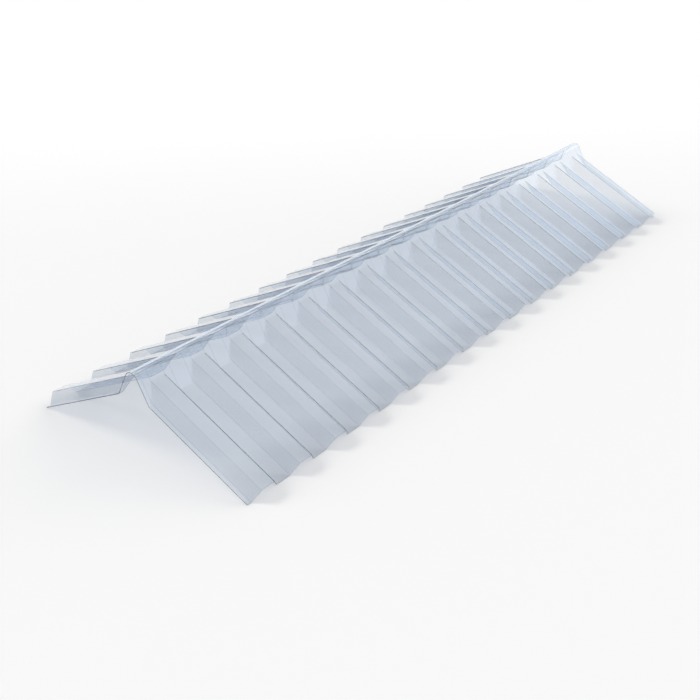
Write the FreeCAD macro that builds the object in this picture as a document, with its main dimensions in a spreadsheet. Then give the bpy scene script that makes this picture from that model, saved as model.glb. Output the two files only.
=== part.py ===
"""Roof ridge cap: one thin clear sheet with a raised roll along the ridge and two corrugated wings.

The sheet is what lies between two solid forms. The outer form fills everything under the top face of the
sheet, the inner form everything under its lower face, and the cap is the first less the second. Both are
built by the same class: a tent with the roll on its apex, then a row of ribs down each slope.

Frame: millimetres, X along the ridge, Z up, the feet on z = 0, the origin midway between ends and feet.
"""
import FreeCAD, Part
import math
import os

import Sketcher

DRIVING_SIZES = {
    "rib_count": 17,
    "rib_pitch": 76.2,
    "rib_top": 25.3,
    "rib_height": 16.9,
    "web_run": 12.3,
    "end_pan": 6.75,
    "pan_bend": 2.0,
    "crown_bend": 2.0,
    "sheet_gauge": 1.0,
    "wing_slope": 26.3,
    "foot_half_span": 197.5,
    "roll_rise": 26.9,
    "crest_radius": 12.2,
    "roll_side_slope": 62.0,
    "form_depth": 8.0,
}

# What follows from the driving sizes, as expressions on the cells of the spreadsheet
SLOPE = "(Sizes.wing_slope * 1 deg)"
STEEP = "(Sizes.roll_side_slope * 1 deg)"
WEB = "atan(Sizes.rib_height / Sizes.web_run)"
ROW_LENGTH = "((Sizes.rib_count - 1) * Sizes.rib_pitch)"
CAP_LENGTH = f"({ROW_LENGTH} + Sizes.rib_top + 2 * Sizes.web_run + 2 * Sizes.end_pan)"
FOOT_RISE = f"(Sizes.sheet_gauge * cos({SLOPE}))"
CREST_CENTRE = (f"({FOOT_RISE} + Sizes.foot_half_span * tan({SLOPE})"
                " + Sizes.roll_rise - Sizes.crest_radius)")

# Sketcher's numbers for the ends of an edge and for a sketch's own axes
START, END, CENTRE = 1, 2, 3
ORIGIN, UPRIGHT = -1, -2

NEAR = 1e-4


def make_spreadsheet(doc):
    """The driving sizes, one aliased cell each."""
    sheet = doc.addObject("Spreadsheet::Sheet", "Sizes")
    for row, (alias, value) in enumerate(DRIVING_SIZES.items(), start=1):
        sheet.set(f"A{row}", alias)
        sheet.set(f"B{row}", str(value))
        sheet.setAlias(f"B{row}", alias)
    doc.recompute()
    return sheet


def origin_feature(body, role):
    """One of the body's own origin planes or axes."""
    return next(item for item in body.Origin.OriginFeatures if item.Role == role)


def relate(sketch, kind, *places):
    """Adds a geometric constraint."""
    sketch.addConstraint(Sketcher.Constraint(kind, *places))


def dimension(sketch, name, expression, kind, *places):
    """Adds a named dimension, the last of places its first value, and binds it to an expression."""
    index = sketch.addConstraint(Sketcher.Constraint(kind, *places))
    sketch.renameConstraint(index, name)
    sketch.setExpression(f"Constraints.{name}", expression)


def flat(y, z):
    return FreeCAD.Vector(y, z, 0)


def mirrored(point):
    return flat(-point.x, point.y)


class Form:
    """Everything under one face of the sheet: `inset` below its top face, `overrun` past its edges."""

    def __init__(self, doc, spreadsheet, name, inset, overrun):
        self.doc = doc
        self.spreadsheet = spreadsheet
        self.inset = inset
        self.overrun = overrun
        self.body = doc.addObject("PartDesign::Body", name)
        self.add_tent()
        self.add_ribs("Front", 1)
        self.add_ribs("Rear", -1)
        self.round_pans()

    def value(self, expression):
        """An expression on the spreadsheet's cells as a plain number, angles in degrees."""
        result = self.spreadsheet.evalExpression(expression)
        return float(getattr(result, "Value", result))

    def new(self, kind, name):
        return self.body.newObject(kind, self.body.Name + name)

    def new_sketch(self, name, plane):
        sketch = self.new("Sketcher::SketchObject", name)
        sketch.AttachmentSupport = [(origin_feature(self.body, plane), "")]
        sketch.MapMode = "FlatFace"
        return sketch

    def add_tent(self):
        """The section across the ridge: two slopes, the steep sides of the roll and its round crest."""
        foot_y = f"Sizes.foot_half_span - {self.inset} * sin({SLOPE}) + {self.overrun} * cos({SLOPE})"
        foot_z = f"{FOOT_RISE} - {self.inset} * cos({SLOPE}) - {self.overrun} * sin({SLOPE})"
        depth = f"Sizes.form_depth + {self.overrun}"
        radius = f"Sizes.crest_radius - {self.inset}"

        slope = math.radians(self.value(SLOPE))
        steep = math.radians(self.value(STEEP))
        foot = flat(self.value(foot_y), self.value(foot_z))
        root = foot - self.value(depth) * flat(math.sin(slope), math.cos(slope))
        centre = flat(0, self.value(CREST_CENTRE))
        shoulder = centre + self.value(radius) * flat(math.sin(steep), math.cos(steep))
        drop = shoulder.y + shoulder.x * math.tan(steep) - foot.y - foot.x * math.tan(slope)
        bend_y = drop / (math.tan(steep) - math.tan(slope))
        bend = flat(bend_y, foot.y + (foot.x - bend_y) * math.tan(slope))
        circle = Part.Circle(centre, FreeCAD.Vector(0, 0, 1), self.value(radius))

        sketch = self.new_sketch("TentSection", "YZ_Plane")
        sketch.addGeometry([
            Part.LineSegment(foot, bend),
            Part.LineSegment(bend, shoulder),
            Part.ArcOfCircle(circle, math.pi / 2 - steep, math.pi / 2 + steep),
            Part.LineSegment(mirrored(shoulder), mirrored(bend)),
            Part.LineSegment(mirrored(bend), mirrored(foot)),
            Part.LineSegment(mirrored(foot), mirrored(root)),
            Part.LineSegment(mirrored(root), root),
            Part.LineSegment(root, foot),
        ])
        rear_slope, rear_side, crest, front_side, front_slope, front_foot, base, rear_foot = range(8)
        for first, second in ((rear_slope, rear_side), (front_side, front_slope), (front_slope, front_foot),
                              (front_foot, base), (base, rear_foot), (rear_foot, rear_slope)):
            relate(sketch, "Coincident", first, END, second, START)
        relate(sketch, "Tangent", rear_side, END, crest, START)
        relate(sketch, "Tangent", crest, END, front_side, START)
        for rear, front in ((rear_slope, front_slope), (rear_side, front_side), (rear_foot, front_foot)):
            relate(sketch, "Symmetric", rear, START, front, END, UPRIGHT)
        relate(sketch, "PointOnObject", crest, CENTRE, UPRIGHT)
        relate(sketch, "Perpendicular", rear_foot, rear_slope)
        dimension(sketch, "foot_y", foot_y, "DistanceX", ORIGIN, START, rear_slope, START, foot.x)
        dimension(sketch, "foot_z", foot_z, "DistanceY", ORIGIN, START, rear_slope, START, foot.y)
        dimension(sketch, "depth", depth, "Distance", rear_foot, self.value(depth))
        dimension(sketch, "slope", f"180 deg - {SLOPE}", "Angle", rear_slope, math.pi - slope)
        dimension(sketch, "steep", f"180 deg - {STEEP}", "Angle", rear_side, math.pi - steep)
        dimension(sketch, "radius", radius, "Radius", crest, self.value(radius))
        dimension(sketch, "centre", CREST_CENTRE, "DistanceY", ORIGIN, START, crest, CENTRE, centre.y)

        tent = self.new("PartDesign::Pad", "Tent")
        tent.Profile = sketch
        tent.Midplane = True
        tent.setExpression("Length", f"{CAP_LENGTH} + 2 * {self.overrun}")
        self.doc.recompute()

    def add_ribs(self, side, sense):
        """One rib from the foot into the roll, with a rounded crown, repeated along the wing."""
        sketch = self.new_sketch(f"{side}RibSection", "XZ_Plane")
        tilt = FreeCAD.Rotation(FreeCAD.Vector(sense, 0, 0), self.value(SLOPE))
        sketch.AttachmentOffset = FreeCAD.Placement(FreeCAD.Vector(0, 0, 0), tilt)
        for place, expression in (
                ("Base.x", f"-{ROW_LENGTH} / 2"),
                ("Base.y", f"{FOOT_RISE} - {self.overrun} * sin({SLOPE})"),
                ("Base.z", f"{sense} * (Sizes.foot_half_span + {self.overrun} * cos({SLOPE}))"),
                ("Rotation.Angle", SLOPE)):
            sketch.setExpression(f"AttachmentOffset.{place}", expression)

        flat_top = f"Sizes.rib_top - 2 * Sizes.crown_bend * tan({WEB} / 2)"
        level = f"Sizes.rib_height - {self.inset}"
        buried = f"Sizes.form_depth / 2 + {self.inset}"
        radius = f"Sizes.crown_bend - {self.inset}"

        web = math.radians(self.value(WEB))
        crown = flat(self.value(flat_top) / 2, self.value(level))
        centre = crown - flat(0, self.value(radius))
        brow = centre + self.value(radius) * flat(math.sin(web), math.cos(web))
        root = flat(brow.x + (brow.y + self.value(buried)) / math.tan(web), -self.value(buried))
        upwards = FreeCAD.Vector(0, 0, 1)
        near_circle = Part.Circle(mirrored(centre), upwards, self.value(radius))
        far_circle = Part.Circle(centre, upwards, self.value(radius))
        sketch.addGeometry([
            Part.LineSegment(mirrored(root), root),
            Part.LineSegment(root, brow),
            Part.ArcOfCircle(far_circle, math.pi / 2 - web, math.pi / 2),
            Part.LineSegment(crown, mirrored(crown)),
            Part.ArcOfCircle(near_circle, math.pi / 2, math.pi / 2 + web),
            Part.LineSegment(mirrored(brow), mirrored(root)),
        ])
        base, far_web, far_bend, top, near_bend, near_web = range(6)
        relate(sketch, "Coincident", base, END, far_web, START)
        relate(sketch, "Coincident", near_web, END, base, START)
        for first, second in ((far_web, far_bend), (far_bend, top), (top, near_bend), (near_bend, near_web)):
            relate(sketch, "Tangent", first, END, second, START)
        relate(sketch, "Symmetric", base, START, base, END, UPRIGHT)
        relate(sketch, "Symmetric", top, START, top, END, UPRIGHT)
        relate(sketch, "Equal", far_bend, near_bend)
        dimension(sketch, "flat_top", flat_top, "Distance", top, 2 * crown.x)
        dimension(sketch, "level", level, "DistanceY", ORIGIN, START, top, START, crown.y)
        dimension(sketch, "buried", buried, "DistanceY", base, START, ORIGIN, START, -root.y)
        dimension(sketch, "web", f"180 deg - {WEB}", "Angle", far_web, math.pi - web)
        dimension(sketch, "radius", radius, "Radius", far_bend, self.value(radius))

        rib = self.new("PartDesign::Pad", f"{side}Rib")
        rib.Profile = sketch
        rib.Reversed = sense > 0
        rib.setExpression("Length", f"Sizes.foot_half_span / cos({SLOPE}) + {self.overrun}")
        row = self.new("PartDesign::LinearPattern", f"{side}Ribs")
        row.Originals = [rib]
        row.Direction = (origin_feature(self.body, "X_Axis"), [""])
        row.setExpression("Length", ROW_LENGTH)
        row.setExpression("Occurrences", "Sizes.rib_count")
        self.body.Tip = row
        self.doc.recompute()

    def round_pans(self):
        """The soft bends where the ribs rise from the pans."""
        ribs = self.body.Tip
        names = [f"Edge{number}" for number, edge in enumerate(ribs.Shape.Edges, start=1)
                 if self.joins_pan_and_rib(edge)]
        bends = self.new("PartDesign::Fillet", "PanBends")
        bends.Base = (ribs, names)
        bends.setExpression("Radius", f"Sizes.pan_bend + {self.inset}")
        self.body.Tip = bends
        self.doc.recompute()
        print(f"{bends.Name}: {len(names)} edges")

    def joins_pan_and_rib(self, edge):
        """Whether an edge runs down the slope on a pan, clear of the form's two ends."""
        first, last = (edge.Vertexes[0].Point, edge.Vertexes[-1].Point)
        runs_down = abs(last.x - first.x) < NEAR < abs(last.y - first.y)
        on_pan = abs(self.above_pan(first)) < NEAR and abs(self.above_pan(last)) < NEAR
        half_length = self.value(f"{CAP_LENGTH} / 2 + {self.overrun}")
        return runs_down and on_pan and abs(first.x) < half_length - NEAR

    def above_pan(self, point):
        """Height of a point over the pan of its wing, square to the slope."""
        slope = math.radians(self.value(SLOPE))
        up = point.z - self.value(FOOT_RISE)
        out = abs(point.y) - self.value("Sizes.foot_half_span")
        return up * math.cos(slope) + out * math.sin(slope) + self.value(self.inset)


def main():
    doc = FreeCAD.newDocument("RidgeCap")
    spreadsheet = make_spreadsheet(doc)
    outer = Form(doc, spreadsheet, "OuterForm", "0", "0")
    inner = Form(doc, spreadsheet, "InnerForm", "Sizes.sheet_gauge", "Sizes.form_depth")

    cap = doc.addObject("Part::Cut", "RidgeCapSheet")
    cap.Label = "ridge_cap"
    cap.Base = outer.body
    cap.Tool = inner.body
    doc.recompute()

    for thing in doc.Objects:
        if "Invalid" in thing.State or "Error" in thing.State:
            raise RuntimeError(f"{thing.Name} failed: {thing.State}")
    shape = cap.Shape
    if shape.isNull() or not shape.isValid() or len(shape.Solids) != 1:
        raise RuntimeError(f"{cap.Label} is not one valid solid")
    box = shape.BoundBox
    print(f"{cap.Label}: {box.XLength:.2f} x {box.YLength:.2f} x {box.ZLength:.2f} mm, lowest {box.ZMin:.3f}")
    print(f"{cap.Label}: {shape.Volume:.0f} mm3, {len(shape.Faces)} faces")

    os.makedirs("parts", exist_ok=True)
    shape.exportStep(f"parts/{cap.Label}.step")


main()
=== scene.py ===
# %% [markdown]
# A clear ridge cap for a corrugated roof, pressed from one thin sheet of pale blue plastic. It has a rounded
# roll along the ridge and a corrugated wing on each side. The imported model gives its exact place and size, so
# this lesson starts from that frame and only replaces the look of the sheet.

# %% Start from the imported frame
import math

import bpy
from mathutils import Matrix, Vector


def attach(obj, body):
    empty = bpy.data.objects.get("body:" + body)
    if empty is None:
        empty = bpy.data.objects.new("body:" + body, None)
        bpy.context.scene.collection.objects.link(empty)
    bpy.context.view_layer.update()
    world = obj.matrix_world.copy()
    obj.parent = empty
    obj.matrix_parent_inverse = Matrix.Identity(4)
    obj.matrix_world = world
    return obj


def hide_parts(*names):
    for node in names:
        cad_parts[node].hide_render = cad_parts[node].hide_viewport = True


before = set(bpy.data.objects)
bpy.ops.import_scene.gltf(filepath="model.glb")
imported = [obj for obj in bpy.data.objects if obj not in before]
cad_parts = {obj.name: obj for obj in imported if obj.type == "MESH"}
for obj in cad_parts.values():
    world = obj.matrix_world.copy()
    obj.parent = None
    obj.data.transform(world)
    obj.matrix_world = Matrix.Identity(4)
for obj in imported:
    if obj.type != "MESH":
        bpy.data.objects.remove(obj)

scene = bpy.context.scene
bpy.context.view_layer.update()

# %% [markdown]
# The sheet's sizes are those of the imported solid, in metres. Only the small blend between the ribs and the
# roll is new: a press leaves it soft, and the solid keeps it sharp to stay light. The rows say how finely the
# sheet is divided from the crest down to a foot, and the steps how finely a bend is.

# %% Sizes of the sheet
MM = 0.001
sheet_sizes = {
    "Rib Count": 17,
    "Rib Pitch": 76.2 * MM,
    "Rib Top": 25.3 * MM,
    "Rib Height": 16.9 * MM,
    "Web Run": 12.3 * MM,
    "End Pan": 6.75 * MM,
    "Pan Bend": 2.0 * MM,
    "Crown Bend": 2.0 * MM,
    "Gauge": 1.0 * MM,
    "Wing Slope": math.radians(26.3),
    "Half Span": 197.5 * MM,
    "Roll Rise": 26.9 * MM,
    "Crest Radius": 12.2 * MM,
    "Side Slope": math.radians(62.0),
    "Roll Blend": 0.6 * MM,
}
ARC_ROWS, SIDE_ROWS, BLEND_ROWS, WING_ROWS = 12, 2, 6, 8
BEND_STEPS = 4
half_rows = ARC_ROWS + SIDE_ROWS + BLEND_ROWS + WING_ROWS
print("sheet sizes:", len(sheet_sizes), "rows from crest to foot:", half_rows)

# %% [markdown]
# A node tree is easier to read in code when a few small helpers do the wiring: one places a node and feeds
# its inputs, and the others place a Math node, a vector's parts or a change between two values and give back
# the result.


# %% Helpers that place nodes
def feed(tree, socket, value):
    """Joins an output to an input, or sets a plain value on it."""
    if isinstance(value, bpy.types.NodeSocket):
        tree.links.new(value, socket)
    else:
        socket.default_value = value


def place(tree, kind, inputs=None, **settings):
    """A new node with its settings made and its inputs fed."""
    node = tree.nodes.new(kind)
    for name, value in settings.items():
        setattr(node, name, value)
    for key, value in (inputs or {}).items():
        feed(tree, node.inputs[key], value)
    return node


def calc(tree, operation, *values):
    """The result of a Math node."""
    inputs = dict(enumerate(values))
    return place(tree, "ShaderNodeMath", inputs, operation=operation).outputs[0]


def axes(tree, whole):
    """The three parts of a vector."""
    return place(tree, "ShaderNodeSeparateXYZ", {0: whole}).outputs


def vector(tree, x, y, z):
    """A vector from its three parts."""
    return place(tree, "ShaderNodeCombineXYZ", {0: x, 1: y, 2: z}).outputs[0]


def share(tree, value, start, end, blend="LINEAR"):
    """How far a value has come from start to end, from 0 to 1."""
    step = place(tree, "ShaderNodeMapRange", {"Value": value, "From Min": start, "From Max": end},
                 interpolation_type=blend)
    return step.outputs[0]


def slide(tree, value, start, end, low, high):
    """A soft change from low to high while a value goes from start to end."""
    return calc(tree, "MULTIPLY_ADD", share(tree, value, start, end, "SMOOTHSTEP"), high - low, low)


# %% [markdown]
# The whole sheet follows a rule, so Geometry Nodes make it. First comes the wave: the corners of the ribs lie
# on one line of points, which becomes a curve, and a fillet rounds every corner to the radius of its bend.


# %% The wave along the cap
RIB_CORNERS = 4
END_POINTS = 2


def wave_curve(tree, size):
    """The corrugation as a curve in the XZ plane, height 0 on the pans."""
    points = calc(tree, "MULTIPLY_ADD", size["Rib Count"], RIB_CORNERS, END_POINTS)
    line = place(tree, "GeometryNodeMeshLine", {"Count": points})
    index = place(tree, "GeometryNodeInputIndex").outputs[0]
    corner = calc(tree, "SUBTRACT", index, 1)
    rib = calc(tree, "FLOOR", calc(tree, "DIVIDE", corner, RIB_CORNERS))
    step = calc(tree, "SUBTRACT", corner, calc(tree, "MULTIPLY", rib, RIB_CORNERS))
    up_web = share(tree, step, 0, 1)
    over_top = share(tree, step, 1, 2)
    down_web = share(tree, step, 2, 3)
    raised = calc(tree, "SUBTRACT", up_web, down_web)

    gaps = calc(tree, "SUBTRACT", size["Rib Count"], 1)
    length = calc(tree, "MULTIPLY_ADD", gaps, size["Rib Pitch"], size["Rib Top"])
    length = calc(tree, "MULTIPLY_ADD", size["Web Run"], 2, length)
    length = calc(tree, "MULTIPLY_ADD", size["End Pan"], 2, length)
    end = calc(tree, "MULTIPLY", length, 0.5)

    x = calc(tree, "MULTIPLY_ADD", rib, size["Rib Pitch"], calc(tree, "SUBTRACT", size["End Pan"], end))
    x = calc(tree, "MULTIPLY_ADD", size["Web Run"], calc(tree, "ADD", up_web, down_web), x)
    x = calc(tree, "MULTIPLY_ADD", size["Rib Top"], over_top, x)
    x = calc(tree, "MINIMUM", calc(tree, "MAXIMUM", x, calc(tree, "MULTIPLY", end, -1)), end)
    height = calc(tree, "MULTIPLY", raised, size["Rib Height"])
    corners = place(tree, "GeometryNodeSetPosition",
                    {"Geometry": line.outputs[0], "Position": vector(tree, x, 0, height)})

    wider = calc(tree, "SUBTRACT", size["Crown Bend"], size["Pan Bend"])
    radius = calc(tree, "MULTIPLY_ADD", raised, wider, size["Pan Bend"])
    curve = place(tree, "GeometryNodeMeshToCurve", {0: corners.outputs[0]})
    bends = place(tree, "GeometryNodeFilletCurve", mode="POLY",
                  inputs={"Curve": curve.outputs[0], "Count": BEND_STEPS, "Radius": radius})
    return bends.outputs[0]


# %% [markdown]
# Then comes the section across the ridge. A wing's height is its slope plus the wave stood on it. The roll's
# height is an arc with straight steep sides. The higher of the two is the sheet, and a smooth maximum leaves
# the soft blend of a pressed sheet where they meet. The crease between them lies nearer to the ridge on a rib
# than in a pan, so the rows of the sheet are led along it, and it stays a clean line.


# %% The section across the ridge
def section(tree, size):
    """The values that every point of the section needs, by name."""
    slope, side = size["Wing Slope"], size["Side Slope"]
    part = {"rise": calc(tree, "TANGENT", slope), "flat": calc(tree, "COSINE", slope),
            "steep": calc(tree, "TANGENT", side)}
    foot = calc(tree, "MULTIPLY", size["Gauge"], part["flat"])
    part["apex"] = calc(tree, "MULTIPLY_ADD", size["Half Span"], part["rise"], foot)
    crest = calc(tree, "ADD", part["apex"], size["Roll Rise"])
    part["centre"] = calc(tree, "SUBTRACT", crest, size["Crest Radius"])
    part["shoulder"] = calc(tree, "MULTIPLY", size["Crest Radius"], calc(tree, "SINE", side))
    drop = calc(tree, "MULTIPLY", size["Crest Radius"], calc(tree, "COSINE", side))
    tip = calc(tree, "MULTIPLY_ADD", part["shoulder"], part["steep"], drop)
    part["tip"] = calc(tree, "ADD", part["centre"], tip)
    return part


def row_place(tree, size, part, row, wave):
    """How far out from the ridge a row lies, where the wave has the height given."""
    lift = calc(tree, "DIVIDE", wave, part["flat"])
    above = calc(tree, "SUBTRACT", calc(tree, "SUBTRACT", part["tip"], part["apex"]), lift)
    spread = calc(tree, "SUBTRACT", part["steep"], part["rise"])
    crease = calc(tree, "DIVIDE", above, spread)
    blend = calc(tree, "DIVIDE", size["Roll Blend"], spread)
    reach = calc(tree, "MULTIPLY_ADD", wave, calc(tree, "SINE", size["Wing Slope"]), size["Half Span"])

    turn = calc(tree, "MULTIPLY", size["Side Slope"], share(tree, row, 0, ARC_ROWS))
    out = calc(tree, "MULTIPLY", size["Crest Radius"], calc(tree, "SINE", turn))
    stops = (calc(tree, "SUBTRACT", crease, blend), calc(tree, "ADD", crease, blend), reach)
    start, last = part["shoulder"], ARC_ROWS
    for stop, rows in zip(stops, (SIDE_ROWS, BLEND_ROWS, WING_ROWS)):
        run = calc(tree, "SUBTRACT", stop, start)
        out = calc(tree, "MULTIPLY_ADD", run, share(tree, row, last, last + rows), out)
        start, last = stop, last + rows
    return out


def sheet_height(tree, size, part, out, wave):
    """The height of the top face at a distance out from the ridge, with the wave standing on the wing."""
    pan = calc(tree, "SUBTRACT", part["apex"], calc(tree, "MULTIPLY", out, part["rise"]))
    wing = calc(tree, "ADD", pan, calc(tree, "DIVIDE", wave, part["flat"]))
    radius = size["Crest Radius"]
    on_arc = calc(tree, "MINIMUM", out, part["shoulder"])
    square = calc(tree, "MULTIPLY", radius, radius)
    square = calc(tree, "SUBTRACT", square, calc(tree, "MULTIPLY", on_arc, on_arc))
    arc = calc(tree, "ADD", part["centre"], calc(tree, "SQRT", square))
    past = calc(tree, "MAXIMUM", calc(tree, "SUBTRACT", out, part["shoulder"]), 0)
    roll = calc(tree, "SUBTRACT", arc, calc(tree, "MULTIPLY", past, part["steep"]))
    return calc(tree, "SMOOTH_MAX", wing, roll, size["Roll Blend"])


# %% [markdown]
# A plain grid carries both: one column of points for each point of the wave, and the same rows on each side
# of the crest. The feet are cut square to the wing, so a raised point reaches a little further out. The
# points inside a bend are marked, because the finish paints a deeper tint there as shade along the bends.


# %% The sheet's tree
def sheet_tree():
    """A Geometry Nodes tree that makes the top face of the cap."""
    tree = bpy.data.node_groups.new("pressed_sheet", "GeometryNodeTree")
    tree.interface.new_socket("Geometry", in_out="OUTPUT", socket_type="NodeSocketGeometry")
    for name, value in sheet_sizes.items():
        kind = "NodeSocketInt" if isinstance(value, int) else "NodeSocketFloat"
        tree.interface.new_socket(name, in_out="INPUT", socket_type=kind)
    tree.interface.new_socket("Sheet Finish", in_out="INPUT", socket_type="NodeSocketMaterial")
    size = tree.nodes.new("NodeGroupInput").outputs

    wave = wave_curve(tree, size)
    counted = place(tree, "GeometryNodeAttributeDomainSize", {0: wave}, component="CURVE")
    columns = counted.outputs["Point Count"]
    width = calc(tree, "SUBTRACT", columns, 1)
    grid = place(tree, "GeometryNodeMeshGrid",
                 {"Size X": width, "Size Y": 2.0 * half_rows,
                  "Vertices X": columns, "Vertices Y": 2 * half_rows + 1})

    spot = axes(tree, place(tree, "GeometryNodeInputPosition").outputs[0])
    column = calc(tree, "ROUND", calc(tree, "MULTIPLY_ADD", width, 0.5, spot[0]))
    step = calc(tree, "MODULO", calc(tree, "SUBTRACT", column, 1), BEND_STEPS + 1)
    begun = share(tree, step, 0, 1)
    ended = share(tree, step, BEND_STEPS - 1, BEND_STEPS)
    bend = calc(tree, "SUBTRACT", begun, ended)
    marked = place(tree, "GeometryNodeStoreNamedAttribute", data_type="FLOAT", domain="POINT",
                   inputs={"Geometry": grid.outputs["Mesh"], "Name": "bend", "Value": bend})
    column = place(tree, "FunctionNodeFloatToInt", {0: column}).outputs[0]
    sample = place(tree, "GeometryNodeSampleIndex", data_type="FLOAT_VECTOR", domain="POINT",
                   inputs={"Geometry": wave, "Index": column,
                           "Value": place(tree, "GeometryNodeInputPosition").outputs[0]})
    along, _, raised = axes(tree, sample.outputs[0])

    part = section(tree, size)
    out = row_place(tree, size, part, calc(tree, "ABSOLUTE", spot[1]), raised)
    across = calc(tree, "MULTIPLY", out, calc(tree, "SIGN", spot[1]))
    top = vector(tree, along, across, sheet_height(tree, size, part, out, raised))
    pressed = place(tree, "GeometryNodeSetPosition", {"Geometry": marked.outputs[0], "Position": top})

    real = place(tree, "GeometryNodeRealizeInstances", {0: pressed.outputs[0]})
    finished = place(tree, "GeometryNodeSetMaterial",
                     {"Geometry": real.outputs[0], "Material": size["Sheet Finish"]})
    place(tree, "NodeGroupOutput", {0: finished.outputs[0]})
    return tree


pressed_sheet = sheet_tree()
print("tree pressed_sheet:", len(pressed_sheet.nodes), "nodes")

# %% [markdown]
# Extruded plastic is never quite even: its tint drifts a little along the sheet and its gloss is a touch
# hazier in places. Both the face of the sheet and its cut edge show that drift, so it is one node group, and
# each finish gives it its own colours and its own range of roughness.


# %% The drift in the plastic
# A Mix node has sockets for each kind of data. These are the places of its colours.
FIRST_COLOUR, SECOND_COLOUR, MIXED_COLOUR = 6, 7, 2


def colour_mix(tree, factor, first, second, mode="MIX"):
    """A colour that goes from the first towards the second, or is multiplied by it."""
    node = place(tree, "ShaderNodeMix", data_type="RGBA", blend_type=mode,
                 inputs={"Factor": factor, FIRST_COLOUR: first, SECOND_COLOUR: second})
    return node.outputs[MIXED_COLOUR]


def plastic_drift():
    """A shader node group that puts out a drifting tint and a drifting roughness."""
    group = bpy.data.node_groups.new("plastic_drift", "ShaderNodeTree")
    asked = (("Scale", "Float"), ("Pale", "Color"), ("Deep", "Color"), ("Glossy", "Float"), ("Hazy", "Float"))
    for name, kind in asked:
        group.interface.new_socket(name, in_out="INPUT", socket_type="NodeSocket" + kind)
    for name, kind in (("Tint", "Color"), ("Roughness", "Float"), ("Drift", "Float")):
        group.interface.new_socket(name, in_out="OUTPUT", socket_type="NodeSocket" + kind)
    given = group.nodes.new("NodeGroupInput").outputs
    spot = place(group, "ShaderNodeTexCoord").outputs["Object"]
    cloud = place(group, "ShaderNodeTexNoise", {"Vector": spot, "Scale": given["Scale"], "Detail": 3.0})
    drift = share(group, cloud.outputs[0], 0.3, 0.7)
    tint = colour_mix(group, drift, given["Pale"], given["Deep"])
    spread = calc(group, "SUBTRACT", given["Hazy"], given["Glossy"])
    rough = calc(group, "MULTIPLY_ADD", drift, spread, given["Glossy"])
    place(group, "NodeGroupOutput", {"Tint": tint, "Roughness": rough, "Drift": drift})
    return group


drift_group = plastic_drift()
print("group:", drift_group.name)

# %% [markdown]
# The sheet is clear plastic, so its finish is a glass-like shader with a pale blue tint. At the marked points
# the tint is made deeper, a painted shade that darkens the sheet along its bends. Light that only passes
# through on its way to the floor takes a plain tinted short cut, weaker the flatter it strikes the sheet.
# That leaves the soft pale shadow that such a sheet throws and keeps the render free of noise.


# %% The finish of the clear sheet
SHEET_IOR = 1.585
# Painted shade: the bends are multiplied by this deeper tint to darken them.
BEND_PAINTED_SHADE = (0.88, 0.89, 0.91, 1.0)
SHADE_SQUARE = (0.822, 0.847, 0.884, 1.0)
SHADE_SLANT = (0.806, 0.832, 0.868, 1.0)
SHADE_GRAZING = (0.52, 0.54, 0.57, 1.0)
SLANT_PLACE = 0.45


def blank_material(name):
    """A new material and its tree, still without a node."""
    finish = bpy.data.materials.new(name)
    finish.use_nodes = True
    finish.node_tree.nodes.clear()
    return finish, finish.node_tree


def clear_plastic():
    """Clear, faintly blue sheet with a slight drift in tint and gloss, and bends darkened by painted shade."""
    finish, tree = blank_material("clear_blue_sheet")
    drift = place(tree, "ShaderNodeGroup", node_tree=drift_group, inputs={
        "Scale": 9.0, "Glossy": 0.012, "Hazy": 0.03,
        "Pale": (0.876, 0.915, 0.964, 1.0), "Deep": (0.866, 0.908, 0.959, 1.0)})
    # Painted shade along the bends: the tint is multiplied deeper at the marked points.
    bend = place(tree, "ShaderNodeAttribute", attribute_name="bend").outputs["Fac"]
    tint = colour_mix(tree, bend, drift.outputs["Tint"], BEND_PAINTED_SHADE, mode="MULTIPLY")
    body = place(tree, "ShaderNodeBsdfPrincipled", {
        "Base Color": tint, "Roughness": drift.outputs["Roughness"], "IOR": SHEET_IOR,
        "Transmission Weight": 1.0})
    facing = place(tree, "ShaderNodeLayerWeight", {"Blend": 0.5}).outputs["Facing"]
    shade = place(tree, "ShaderNodeValToRGB", {0: facing})
    square, grazing = shade.color_ramp.elements
    square.color = SHADE_SQUARE
    grazing.color = SHADE_GRAZING
    slant = shade.color_ramp.elements.new(SLANT_PLACE)
    slant.color = SHADE_SLANT
    passing = place(tree, "ShaderNodeBsdfTransparent", {"Color": shade.outputs[0]})
    path = place(tree, "ShaderNodeLightPath")
    lighting = calc(tree, "MAXIMUM", path.outputs["Is Shadow Ray"], path.outputs["Is Diffuse Ray"])
    mixed = place(tree, "ShaderNodeMixShader", {0: lighting, 1: body.outputs[0], 2: passing.outputs[0]})
    place(tree, "ShaderNodeOutputMaterial", {"Surface": mixed.outputs[0]})
    return finish


sheet_finish = clear_plastic()
print("finish:", sheet_finish.name)

# %% [markdown]
# On the cut edge one looks along the plastic, not through it, and the saw leaves fine marks. Its deep, dark
# blue is painted shade: a plain dark and dull shader on faces one millimetre wide stands in for the dim light
# seen along the plastic, with the marks as a small bump.


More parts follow.
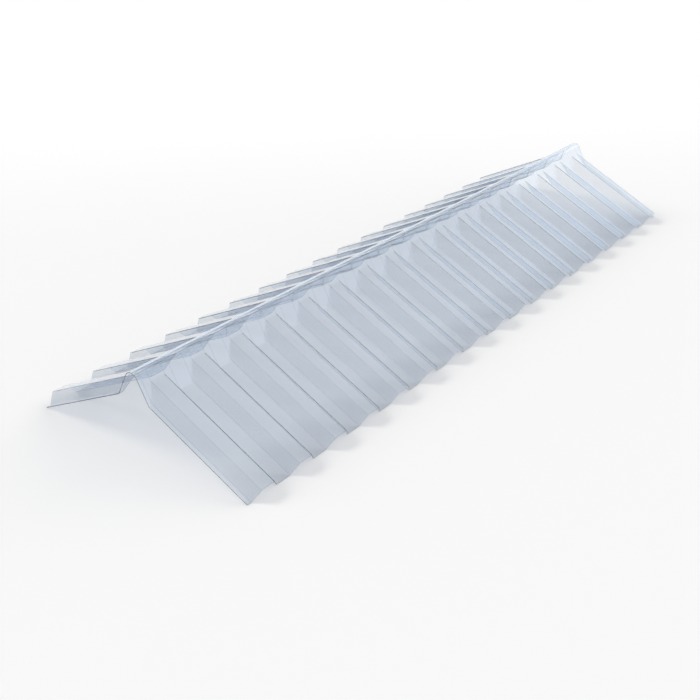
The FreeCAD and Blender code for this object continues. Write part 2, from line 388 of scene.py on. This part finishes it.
# %% The finish of the cut edge
def cut_edge():
    """The sawn edge of the sheet, painted dark navy blue as shade, with fine marks."""
    finish, tree = blank_material("cut_sheet_edge")
    # Painted shade: these dark navy colours stand in for the dim light seen along the plastic.
    drift = place(tree, "ShaderNodeGroup", node_tree=drift_group, inputs={
        "Scale": 600.0, "Glossy": 0.3, "Hazy": 0.5,
        "Pale": (0.012, 0.027, 0.15, 1.0), "Deep": (0.006, 0.014, 0.09, 1.0)})
    marks = place(tree, "ShaderNodeBump",
                  {"Height": drift.outputs["Drift"], "Strength": 0.2, "Distance": 0.2 * MM})
    body = place(tree, "ShaderNodeBsdfPrincipled", {
        "Base Color": drift.outputs["Tint"], "Roughness": drift.outputs["Roughness"], "IOR": SHEET_IOR,
        "Specular IOR Level": 0.05, "Normal": marks.outputs[0]})
    place(tree, "ShaderNodeOutputMaterial", {"Surface": body.outputs[0]})
    return finish


edge_finish = cut_edge()
print("finish:", edge_finish.name)

# %% [markdown]
# The tree runs on an empty mesh, then Solidify gives the sheet its gauge downwards and closes its edges. The
# flats of a pressed sheet are truly flat and all the turning is in the bends, so normals weighted by area
# follow. The result is a plain mesh, and it takes the place of the solid in the picture.


# %% Press the sheet
FINISHES = (sheet_finish, edge_finish)
EDGE_SLOT = FINISHES.index(edge_finish)
SHARP_ANGLE = math.radians(50)


def as_mesh(blank, name):
    """The plain mesh of an object with its modifiers applied; the object goes."""
    ready = blank.evaluated_get(bpy.context.evaluated_depsgraph_get())
    mesh = bpy.data.meshes.new_from_object(ready)
    mesh.name = name
    bpy.data.objects.remove(blank)
    return mesh


def press_sheet():
    """The finished sheet as a plain mesh object."""
    blank = bpy.data.objects.new("sheet_blank", bpy.data.meshes.new("sheet_blank"))
    scene.collection.objects.link(blank)
    for finish in FINISHES:
        blank.data.materials.append(finish)
    press = blank.modifiers.new("press", "NODES")
    press.node_group = pressed_sheet
    sockets = {item.name: item.identifier for item in pressed_sheet.interface.items_tree
               if item.in_out == "INPUT"}
    for name, value in sheet_sizes.items():
        press[sockets[name]] = value
    press[sockets["Sheet Finish"]] = sheet_finish
    gauge = blank.modifiers.new("gauge", "SOLIDIFY")
    gauge.thickness = sheet_sizes["Gauge"]
    gauge.offset = -1.0
    gauge.use_even_offset = True
    gauge.material_offset_rim = EDGE_SLOT
    mesh = as_mesh(blank, "ridge_cap_walls")
    mesh.materials.clear()
    for finish in FINISHES:
        mesh.materials.append(finish)
    mesh.shade_smooth()
    mesh.set_sharp_from_angle(angle=SHARP_ANGLE)

    walls = bpy.data.objects.new("ridge_cap_walls", mesh)
    scene.collection.objects.link(walls)
    flats = walls.modifiers.new("flats", "WEIGHTED_NORMAL")
    flats.mode = "FACE_AREA"
    flats.weight = 100
    flats.keep_sharp = True
    cap = bpy.data.objects.new("ridge_cap_sheet", as_mesh(walls, "ridge_cap_sheet"))
    scene.collection.objects.link(cap)
    return cap


cap = press_sheet()
triangles = sum(len(face.vertices) - 2 for face in cap.data.polygons)
print("sheet:", len(cap.data.vertices), "points,", triangles, "triangles")
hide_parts("ridge_cap")
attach(cap, "root")

# %% [markdown]
# The camera stands in front of the near end, to the left, and looks down along the cap. Its place came from
# lining up the corners of the ribs with the photograph.

# %% The camera
lens = bpy.data.cameras.new("camera")
lens.sensor_width = 36.0
lens.lens = 53.65
camera = bpy.data.objects.new("camera", lens)
scene.collection.objects.link(camera)
camera.location = (-1.4158, -0.9476, 0.7916)
looking = Vector((0.70341, 0.53375, -0.46940))
camera.rotation_euler = looking.to_track_quat("-Z", "Y").to_euler()
scene.camera = camera
print("camera at", tuple(round(v, 3) for v in camera.location))

# %% [markdown]
# A wide white floor makes the plain ground of a studio. It adds a little white of its own for the camera and
# for what is seen in or through the sheet, and it keeps the shadow. More of that white lies behind the cap, a
# painted light that brightens the floor towards the back. Some metres away it turns white, so that it meets
# the sky without a hard line.


# %% The floor
FLOOR_HALF = 30.0
FLOOR_PAINT = (0.9, 0.9, 0.9, 1.0)
TO_THE_BACK = (0.7, 0.7, 0.0)
NEAR_GLOW, BACK_PAINTED_LIGHT, FAR_GLOW = 0.145, 0.21, 0.2


def white_floor():
    """A wide white floor under the feet."""
    half = FLOOR_HALF
    mesh = bpy.data.meshes.new("floor")
    corners = [(-half, -half, 0.0), (half, -half, 0.0), (half, half, 0.0), (-half, half, 0.0)]
    mesh.from_pydata(corners, [], [(0, 1, 2, 3)])
    floor = bpy.data.objects.new("floor", mesh)
    scene.collection.objects.link(floor)
    finish, tree = blank_material("floor_white")
    body = place(tree, "ShaderNodeBsdfDiffuse", {"Color": FLOOR_PAINT})
    path = place(tree, "ShaderNodeLightPath")
    seen = calc(tree, "MAXIMUM", path.outputs["Is Camera Ray"], path.outputs["Is Glossy Ray"])
    seen = calc(tree, "MAXIMUM", seen, path.outputs["Is Transmission Ray"])
    spot = place(tree, "ShaderNodeTexCoord").outputs["Object"]
    away = place(tree, "ShaderNodeVectorMath", {0: spot, 1: TO_THE_BACK}, operation="DOT_PRODUCT")
    # Painted light: the floor's glow grows from the near level to a brighter level behind the cap.
    white = slide(tree, away.outputs["Value"], 0.2, 1.3, NEAR_GLOW, BACK_PAINTED_LIGHT)
    far = place(tree, "ShaderNodeVectorMath", {0: spot}, operation="LENGTH").outputs["Value"]
    white = calc(tree, "ADD", white, slide(tree, far, 4.0, 14.0, 0.0, FAR_GLOW))
    glow = place(tree, "ShaderNodeEmission", {"Strength": calc(tree, "MULTIPLY", seen, white)})
    both = place(tree, "ShaderNodeAddShader", {0: body.outputs[0], 1: glow.outputs[0]})
    place(tree, "ShaderNodeOutputMaterial", {"Surface": both.outputs[0]})
    mesh.materials.append(finish)
    return floor


floor = white_floor()
print("floor:", floor.name)

# %% [markdown]
# Clear plastic vanishes in a room that is white all round: it shows by what it mirrors. So the sky has two
# parts. A soft white dome lights the floor, a little brighter on the right. What the sheet mirrors is a dim
# room with one wide wall on the right, brighter and bluer low down. Two upright bands of extra light stand on
# that wall, one on each side of the stretch that the flats of the wing mirror, and show in the top bend of
# the roll. The room has a white skirting along the floor and a light box in the ceiling. The camera itself
# sees plain white.


# %% The sky
WHITE = (1.0, 1.0, 1.0, 1.0)
BLUE_WALL = (0.85, 0.93, 1.0, 1.0)
LIGHT_BOX = (0.05, -0.50, 0.865)
DOME_LEVEL, DOME_SPREAD = 0.335, 0.30
RIGHT_GAIN, BACK_GAIN = 0.6, -0.2


def dome_light(tree, toward):
    """The soft dome that lights the floor, stronger near the horizon and on the right."""
    right, back, up = axes(tree, toward)
    side = calc(tree, "MULTIPLY_ADD", right, RIGHT_GAIN, 1.0)
    side = calc(tree, "MULTIPLY_ADD", back, BACK_GAIN, side)
    low = calc(tree, "ADD", calc(tree, "MAXIMUM", up, 0.0), DOME_SPREAD)
    strength = calc(tree, "MULTIPLY", side, calc(tree, "DIVIDE", DOME_LEVEL, low))
    return place(tree, "ShaderNodeBackground", {"Color": WHITE, "Strength": strength}).outputs[0]


def wall_band(tree, toward, edges, heights, level):
    """An upright band of extra light on the wall, which comes and goes between four edges."""
    right, back, up = axes(tree, toward)
    start, full, fade, end = edges
    low, high = heights
    band = slide(tree, back, start, full, 0.0, level)
    for limit in (slide(tree, back, fade, end, 1.0, 0.0), slide(tree, up, low, high, 0.0, 1.0),
                  slide(tree, right, 0.40, 0.56, 0.0, 1.0)):
        band = calc(tree, "MULTIPLY", band, limit)
    return band


def mirrored_room(tree, toward):
    """The dim room with a wide wall, a skirting and a light box that the sheet mirrors."""
    right, back, up = axes(tree, toward)
    wall = slide(tree, up, 0.78, 0.48, 0.38, 0.95)
    wall = calc(tree, "MULTIPLY", wall, slide(tree, right, 0.15, 0.60, 0.0, 1.0))
    rear_band = wall_band(tree, toward, edges=(0.06, 0.20, 0.34, 0.48), heights=(0.44, 0.60), level=0.65)
    front_band = wall_band(tree, toward, edges=(-0.15, -0.23, -0.32, -0.44), heights=(0.25, 0.40),
                           level=0.70)
    wall = calc(tree, "ADD", wall, calc(tree, "ADD", rear_band, front_band))
    box = place(tree, "ShaderNodeVectorMath", {0: toward, 1: LIGHT_BOX}, operation="DOT_PRODUCT")
    ceiling = slide(tree, box.outputs["Value"], 0.88, 0.97, 0.06, 1.66)
    skirting = slide(tree, up, 0.18, 0.05, 0.0, 0.9)
    skirting = calc(tree, "MULTIPLY", skirting, slide(tree, right, -0.25, 0.05, 0.0, 1.0))
    level = calc(tree, "MAXIMUM", calc(tree, "ADD", wall, ceiling), skirting)

    blue = slide(tree, up, 0.72, 0.48, 0.0, 1.0)
    paint = colour_mix(tree, blue, WHITE, BLUE_WALL)
    return place(tree, "ShaderNodeBackground", {"Color": paint, "Strength": level}).outputs[0]


def studio_sky():
    """The world: white for the camera, the room for mirrored rays and the dome for all other light."""
    world = bpy.data.worlds.new("studio_sky")
    world.use_nodes = True
    tree = world.node_tree
    tree.nodes.clear()
    toward = place(tree, "ShaderNodeTexCoord").outputs["Generated"]
    path = place(tree, "ShaderNodeLightPath").outputs
    mirrored = calc(tree, "MAXIMUM", path["Is Glossy Ray"], path["Is Transmission Ray"])
    both = place(tree, "ShaderNodeMixShader",
                 {0: mirrored, 1: dome_light(tree, toward), 2: mirrored_room(tree, toward)})
    white = place(tree, "ShaderNodeBackground", {"Color": WHITE, "Strength": 1.0})
    seen = place(tree, "ShaderNodeMixShader",
                 {0: path["Is Camera Ray"], 1: both.outputs[0], 2: white.outputs[0]})
    place(tree, "ShaderNodeOutputWorld", {"Surface": seen.outputs[0]})
    scene.world = world
    return world


print("sky:", studio_sky().name)

# %% [markdown]
# Two soft lamps throw the pale shadows. One stands low behind the cap, a little to the left, and makes the
# short scallops in front of the feet. The other stands far out on the right and shades the floor off the near
# end. They are wide and only light the floor, so the sheet shows no spot of them.


# %% The soft lamps
def soft_lamp(name, energy, width, travel):
    """A wide sun lamp whose light travels the way given and leaves no glint on the sheet."""
    sun = bpy.data.lights.new(name, "SUN")
    sun.energy = energy
    sun.angle = math.radians(width)
    lamp = bpy.data.objects.new(name, sun)
    lamp.visible_glossy = False
    lamp.visible_transmission = False
    scene.collection.objects.link(lamp)
    lamp.rotation_euler = Vector(travel).to_track_quat("-Z", "Y").to_euler()
    return lamp


back_lamp = soft_lamp("back_lamp", energy=2.05, width=24, travel=(0.24, -0.80, -0.55))
right_lamp = soft_lamp("right_lamp", energy=0.90, width=40, travel=(-0.80, 0.25, -0.55))
print("lamps:", back_lamp.name, right_lamp.name)

# %% [markdown]
# The Standard view shows colours as they are written, with no film look over them.

# %% Colours are shown as they are
scene.view_settings.view_transform = "Standard"
print("view transform:", scene.view_settings.view_transform)
